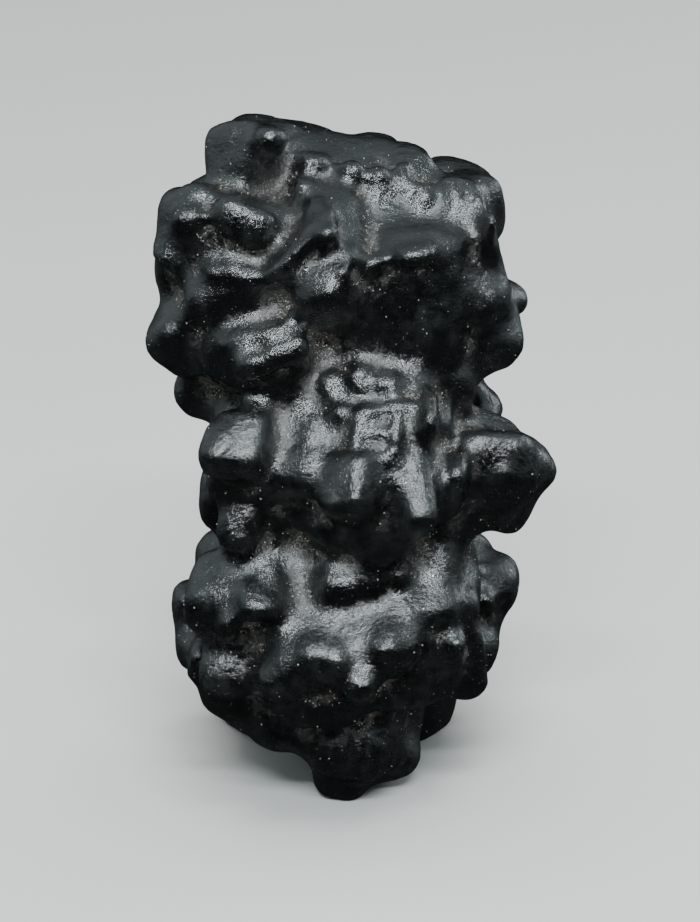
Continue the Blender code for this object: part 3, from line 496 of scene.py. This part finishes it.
def hollows(thing, steps, depth):
    """How far the neighbourhood's mean stands out past each point, over depth millimetres."""
    mesh = thing.data
    pairs = np.empty(len(mesh.edges) * 2, np.int32)
    mesh.edges.foreach_get("vertices", pairs)
    one, other = pairs[0::2], pairs[1::2]
    count = np.bincount(pairs, minlength=len(mesh.vertices))
    start = corners(thing).astype(float) / METRE
    smooth = start.copy()
    for _ in range(steps):
        for axis in range(3):
            along = smooth[:, axis]
            total = np.bincount(one, along[other], len(start)) + np.bincount(other, along[one], len(start))
            smooth[:, axis] = (along + total / count) / 2
    outward = np.empty(len(start) * 3, np.float32)
    mesh.vertices.foreach_get("normal", outward)
    stands_out = ((smooth - start) * outward.reshape(-1, 3)).sum(1)
    return stands_out / depth


for name, steps, depth in CREASES:
    values = hollows(skin, steps, depth)
    skin.data.attributes.new(name, "FLOAT", "POINT").data.foreach_set("value", values.astype(np.float32))

# The finish. Black iron oxide, polished to a satin gloss where hands and wind reach it, with a grey bloom
# in clouds, a fine granular skin that breaks up its highlights, and pale dust and specks in its creases.
BLACK = (0.0028, 0.0034, 0.0034, 1)
GREY_BLOOM = (0.014, 0.0168, 0.0168, 1)
DUST = (0.25, 0.232, 0.208, 1)
SPECK = (0.42, 0.42, 0.40, 1)
STONE_IOR = 2.0
SATIN = (0.12, 0.25)
DULLING = 0.2
DUST_FILM = 0.035
DUST_COVER = 0.8
SPECKS_PER_MM = 3.4
SPECK_COVER = 0.55
SPECK_LEAST = 0.25

# Each pattern: waves to a millimetre, detail, roughness and, where it runs one way, stretch.
CLOUD = (0.22, 3.0, 0.5)
MOTTLE = (0.9, 4.0, 0.6)
POWDER = (7.0, 2.0, 0.6)
COARSE = (1.7, 3.0, 0.55)
FINE = (5.5, 3.0, 0.65)
STREAKS = (2.8, 3.0, 0.6, (1, 1, 0.7))

# The heights of the fine skin, in millimetres.
COARSE_HEIGHT = 0.08
FINE_HEIGHT = 0.055
STREAK_HEIGHT = 0.075
DUST_HEIGHT = 0.03

# Where each effect begins and where it is full, on its pattern's or its crease's own scale.
BLOOM_EDGES = {"mottle": (0.35, 0.7), "cloud": (0.35, 0.65)}
DEEP_EDGES = {"wide": (0.12, 0.6), "mottle": (0.36, 0.6)}
LINE_EDGES = {"narrow": (0.4, 0.95), "wide": (0.02, 0.3), "cloud": (0.42, 0.56)}
SPECK_EDGES = {"distance": (0.17, 0.09), "chosen": (0.55, 0.9), "mottle": (0.4, 0.62)}
POWDER_EDGE = (0.5, 0.62)
WORN_EDGE = (0.3, 0.7)
DULL_EDGE = (-0.1, 0.9)


def finish_stone(black):
    """Near-black iron oxide: satin where it is worn, granular in the light, dull and dusty in its creases."""
    black.use_nodes = True
    tree = black.node_tree
    shader = tree.nodes["Principled BSDF"]
    shader.inputs["IOR"].default_value = STONE_IOR

    def spread(per_mm, stretch=(1, 1, 1)):
        return place_node(tree, "ShaderNodeMapping", [
            ("Vector", spot), ("Scale", [per_mm * s / METRE for s in stretch])]).outputs[0]

    def noise(per_mm, detail, roughness, stretch=(1, 1, 1)):
        return place_node(tree, "ShaderNodeTexNoise", [
            ("Vector", spread(per_mm, stretch)), ("Scale", 1.0), ("Detail", detail),
            ("Roughness", roughness)]).outputs[0]

    def blend(share, one, other):
        return place_node(tree, "ShaderNodeMix", [
            (0, share), (6, one), (7, other)], data_type="RGBA").outputs[2]

    def both(one, other):
        return maths(tree, "MULTIPLY", one, other)

    spot = tree.nodes.new("ShaderNodeTexCoord").outputs["Object"]
    narrow = place_node(tree, "ShaderNodeAttribute", attribute_name="narrow_crease").outputs["Fac"]
    wide = place_node(tree, "ShaderNodeAttribute", attribute_name="wide_crease").outputs["Fac"]
    cloud = noise(*CLOUD)
    mottle = noise(*MOTTLE)

    bloom = both(ramp(tree, mottle, *BLOOM_EDGES["mottle"]), ramp(tree, cloud, *BLOOM_EDGES["cloud"]))
    colour = blend(bloom, BLACK, GREY_BLOOM)

    deep = both(ramp(tree, wide, *DEEP_EDGES["wide"]), ramp(tree, mottle, *DEEP_EDGES["mottle"]))
    line = both(ramp(tree, narrow, *LINE_EDGES["narrow"]), ramp(tree, wide, *LINE_EDGES["wide"]))
    line = both(line, ramp(tree, cloud, *LINE_EDGES["cloud"]))
    crease = maths(tree, "MAXIMUM", deep, line)
    powder = both(crease, ramp(tree, noise(*POWDER), *POWDER_EDGE))
    dust = maths(tree, "MAXIMUM", both(crease, DUST_FILM), powder)
    colour = blend(both(dust, DUST_COVER), colour, DUST)

    specks = place_node(tree, "ShaderNodeTexVoronoi", [("Vector", spread(SPECKS_PER_MM)), ("Scale", 1.0)])
    chosen = place_node(tree, "ShaderNodeSeparateColor", [(0, specks.outputs["Color"])]).outputs[0]
    speck = both(ramp(tree, specks.outputs["Distance"], *SPECK_EDGES["distance"]),
                 ramp(tree, chosen, *SPECK_EDGES["chosen"]))
    speck = both(speck, ramp(tree, mottle, *SPECK_EDGES["mottle"], SPECK_LEAST))
    colour = blend(both(speck, SPECK_COVER), colour, SPECK)
    tree.links.new(colour, shader.inputs["Base Color"])

    worn = ramp(tree, mottle, *WORN_EDGE, *SATIN)
    dull = maths(tree, "MAXIMUM", ramp(tree, wide, *DULL_EDGE), dust)
    rough = maths(tree, "ADD", worn, both(dull, DULLING), use_clamp=True)
    tree.links.new(rough, shader.inputs["Roughness"])

    height = maths(tree, "ADD", both(noise(*COARSE), COARSE_HEIGHT), both(noise(*FINE), FINE_HEIGHT))
    height = maths(tree, "ADD", height, both(noise(*STREAKS), STREAK_HEIGHT))
    height = maths(tree, "ADD", height, both(dust, DUST_HEIGHT))
    bump = place_node(tree, "ShaderNodeBump", [("Height", height), ("Distance", METRE), ("Strength", 1.0)])
    tree.links.new(bump.outputs[0], shader.inputs["Normal"])


finish_stone(black)
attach(skin, "root")
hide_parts("prophecy_stone")

# The grains. Pale sand and dust from the desert, quartz and clay from white to tan, blown into the creases
# and stuck there, with a few strewn over the open skin. Counts are to a square millimetre.
GRAINS = {"Crease Count": 14.0, "Open Count": 0.07, "Grain Least": 0.025, "Grain Most": 0.075}
GRAIN_SEED = 11
GRAIN_WHITE = (0.62, 0.60, 0.55, 1)
GRAIN_TAN = (0.38, 0.32, 0.25, 1)
GRAIN_ROUGHNESS = 0.6
SHADES_PER_MM = 1.4
GRAIN_LEAST_SHAPE = (0.6, 0.6, 0.5)
GRAIN_MOST_SHAPE = (1.5, 1.2, 1.0)
FULL_TURN = (6.283, 6.283, 6.283)
HEAPS_PER_MM = 0.5
HEAP_EDGE = (0.46, 0.66)
CREASE_EDGE = (0.12, 0.6)


def grain_finish():
    """Quartz and clay, from white to tan, one shade to a grain."""
    pale = bpy.data.materials.new("pale_grains")
    pale.use_nodes = True
    tree = pale.node_tree
    shader = tree.nodes["Principled BSDF"]
    shader.inputs["Roughness"].default_value = GRAIN_ROUGHNESS
    spot = tree.nodes.new("ShaderNodeTexCoord").outputs["Object"]
    shade = place_node(tree, "ShaderNodeTexNoise", [("Vector", spot), ("Scale", SHADES_PER_MM / METRE)])
    mixed = place_node(tree, "ShaderNodeMix", [
        (0, shade.outputs[0]), (6, GRAIN_WHITE), (7, GRAIN_TAN)], data_type="RGBA")
    tree.links.new(mixed.outputs[2], shader.inputs["Base Color"])
    return pale


def grain_tree(finish):
    """Scatters small uneven grains over the skin, most of them in its creases."""
    tree, given, out = new_tree("grains in the creases", GRAINS)
    crease = place_node(tree, "GeometryNodeInputNamedAttribute", [("Name", "wide_crease")], data_type="FLOAT")
    spot = tree.nodes.new("GeometryNodeInputPosition").outputs[0]
    drift = place_node(tree, "ShaderNodeTexNoise", [
        ("Vector", spot), ("Scale", HEAPS_PER_MM / METRE), ("Detail", 2.0)])
    heaped = maths(tree, "MULTIPLY", ramp(tree, crease.outputs[0], *CREASE_EDGE),
                   ramp(tree, drift.outputs[0], *HEAP_EDGE))
    per_square_mm = maths(tree, "ADD", maths(tree, "MULTIPLY", heaped, given["Crease Count"]),
                          given["Open Count"])
    scatter = place_node(tree, "GeometryNodeDistributePointsOnFaces", [
        ("Mesh", given["Geometry"]), ("Density", maths(tree, "DIVIDE", per_square_mm, METRE * METRE)),
        ("Seed", GRAIN_SEED)], distribute_method="RANDOM")
    ball = place_node(tree, "GeometryNodeMeshIcoSphere", [("Radius", METRE), ("Subdivisions", 1)])
    size = place_node(tree, "FunctionNodeRandomValue", [
        (2, given["Grain Least"]), (3, given["Grain Most"]), ("Seed", GRAIN_SEED)], data_type="FLOAT")
    shape = place_node(tree, "FunctionNodeRandomValue", [
        (0, GRAIN_LEAST_SHAPE), (1, GRAIN_MOST_SHAPE), ("Seed", GRAIN_SEED + 1)], data_type="FLOAT_VECTOR")
    scale = place_node(tree, "ShaderNodeVectorMath", [
        (0, shape.outputs[0]), ("Scale", size.outputs[1])], operation="SCALE")
    spin = place_node(tree, "FunctionNodeRandomValue", [
        (0, (0, 0, 0)), (1, FULL_TURN), ("Seed", GRAIN_SEED + 2)], data_type="FLOAT_VECTOR")
    turned = place_node(tree, "FunctionNodeEulerToRotation", [(0, spin.outputs[0])])
    strewn = place_node(tree, "GeometryNodeInstanceOnPoints", [
        ("Points", scatter.outputs[0]), ("Instance", ball.outputs[0]), ("Rotation", turned.outputs[0]),
        ("Scale", scale.outputs[0])])
    real = place_node(tree, "GeometryNodeRealizeInstances", [(0, strewn.outputs[0])])
    coated = place_node(tree, "GeometryNodeSetMaterial", [(0, real.outputs[0]), ("Material", finish)])
    tree.links.new(coated.outputs[0], out.inputs[0])
    return tree


def scatter_grains():
    """Runs the tree on the skin and keeps its grains as one plain mesh."""
    modifier = run_tree(skin, grain_tree(grain_finish()), GRAINS)
    graph = bpy.context.evaluated_depsgraph_get()
    made = bpy.data.meshes.new_from_object(skin.evaluated_get(graph))
    skin.modifiers.remove(modifier)
    made.name = "dust_grains"
    scattered = bpy.data.objects.new("dust_grains", made)
    bpy.context.scene.collection.objects.link(scattered)
    return scattered


grains = scatter_grains()
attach(grains, "root")

# The stage. A plain pale floor, and a soft sky that is bright overhead and at the sides and dark in front,
# as a stone this glossy needs. The floor isn't mirrored in the stone: the sky's dim lower half stands for it.
FLOOR_SIZE = 40.0
FLOOR_COLOUR = (0.82, 0.81, 0.79, 1)
FLOOR_ROUGHNESS = 0.9
SKY_COLOUR = (0.86, 1.0, 1.03, 1)
SKY_STRENGTH = 0.46
SIDE_LEAN = 0.38
DEPTH_LEAN = -0.46
BACK_LEAN = 0.16

# Each row: the span of a direction's height, depth or sideways reach, and the brightness at its two ends.
GLOW = (0.05, 0.55, 0.02, 1.0)
ABOVE = (-0.02, 0.12, 0.05, 1.0)
BOUNCE = (-0.06, -0.5, 0.0, 0.06)
BEHIND = (0.05, 0.7, 0.0, 0.5)
BESIDE = (0.2, 0.6, 0.0, 1.0)
RIM = (-0.5, -0.1, 0.0, 1.0)

bpy.ops.mesh.primitive_plane_add(size=FLOOR_SIZE)
floor = bpy.context.object
floor.name = "floor"
floor.visible_glossy = False
paint = bpy.data.materials.new("floor_paint")
paint.use_nodes = True
paint.node_tree.nodes["Principled BSDF"].inputs["Base Color"].default_value = FLOOR_COLOUR
paint.node_tree.nodes["Principled BSDF"].inputs["Roughness"].default_value = FLOOR_ROUGHNESS
floor.data.materials.append(paint)

world = bpy.data.worlds.new("studio")
bpy.context.scene.world = world
world.use_nodes = True
sky = world.node_tree
across, depth, height = place_node(sky, "ShaderNodeSeparateXYZ", [
    (0, sky.nodes.new("ShaderNodeTexCoord").outputs["Generated"])]).outputs
sideways = maths(sky, "ABSOLUTE", across)
lean = maths(sky, "MULTIPLY_ADD", sideways, SIDE_LEAN, height)
lean = maths(sky, "MULTIPLY_ADD", maths(sky, "ABSOLUTE", depth), DEPTH_LEAN, lean)
lean = maths(sky, "MULTIPLY_ADD", depth, BACK_LEAN, lean)
glow = ramp(sky, lean, *GLOW)
above, bounce, rim = (ramp(sky, height, *span, curve="LINEAR") for span in (ABOVE, BOUNCE, RIM))
behind = ramp(sky, depth, *BEHIND, curve="LINEAR")
beside = ramp(sky, sideways, *BESIDE, curve="LINEAR")
backdrop = maths(sky, "MULTIPLY_ADD", maths(sky, "MULTIPLY", behind, beside), rim, bounce)
brightness = maths(sky, "MULTIPLY", maths(sky, "MULTIPLY_ADD", glow, above, backdrop), SKY_STRENGTH)
sky.nodes["Background"].inputs["Color"].default_value = SKY_COLOUR
sky.links.new(brightness, sky.nodes["Background"].inputs["Strength"])

# The lights. A long softbox above the front lights the crests, a small one over it the crown, and one
# behind the right side the rims. A large plain light overhead, which the stone doesn't mirror, fills in.

# Each row: name, place, size, power.
SOFTBOXES = (
    ("window light", (0.0, -0.31, 0.37), (0.30, 0.035), 1.9),
    ("high light", (0.04, -0.16, 0.44), (0.12, 0.06), 0.4),
    ("back window", (0.34, 0.27, 0.19), (0.2, 0.05), 0.3),
)
SOFTBOX_COLOUR = (0.9, 0.98, 1.0)
FILL_HEIGHT = 1.5
FILL_SIZE = 1.6
FILL_POWER = 14.0
FILL_COLOUR = (1.0, 0.96, 0.92)

aim = Vector((0, 0, PLANE_MIDDLE * METRE))
for name, place, size, power in SOFTBOXES:
    softbox = bpy.data.lights.new(name, "AREA")
    softbox.shape = "RECTANGLE"
    softbox.size, softbox.size_y = size
    softbox.energy = power
    softbox.color = SOFTBOX_COLOUR
    hung = bpy.data.objects.new(name, softbox)
    bpy.context.scene.collection.objects.link(hung)
    hung.location = place
    hung.rotation_euler = (aim - Vector(place)).to_track_quat("-Z", "Y").to_euler()

fill_light = bpy.data.lights.new("overhead fill", "AREA")
fill_light.size = FILL_SIZE
fill_light.energy = FILL_POWER
fill_light.color = FILL_COLOUR
fill = bpy.data.objects.new("overhead fill", fill_light)
bpy.context.scene.collection.objects.link(fill)
fill.location = (0, 0, FILL_HEIGHT)
fill.visible_glossy = False

# The camera. It looks down at the stone's middle from the eye that the masses were placed by, through a
# lens that shows so many pixels to a millimetre there.
LONG_SENSOR = 36.0
PIXELS_PER_MM = 11.8
PICTURE_HEIGHT = 922
NEAREST = 0.01

camera_data = bpy.data.cameras.new("camera")
camera_data.sensor_width = LONG_SENSOR
camera_data.lens = LONG_SENSOR * PIXELS_PER_MM * EYE_DISTANCE / PICTURE_HEIGHT
camera_data.clip_start = NEAREST
camera = bpy.data.objects.new("camera", camera_data)
bpy.context.scene.collection.objects.link(camera)
camera.location = (eye - Vector(shift)) * METRE
camera.rotation_mode = "QUATERNION"
camera.rotation_quaternion = (-to_eye).to_track_quat("-Z", "Y")
bpy.context.scene.camera = camera
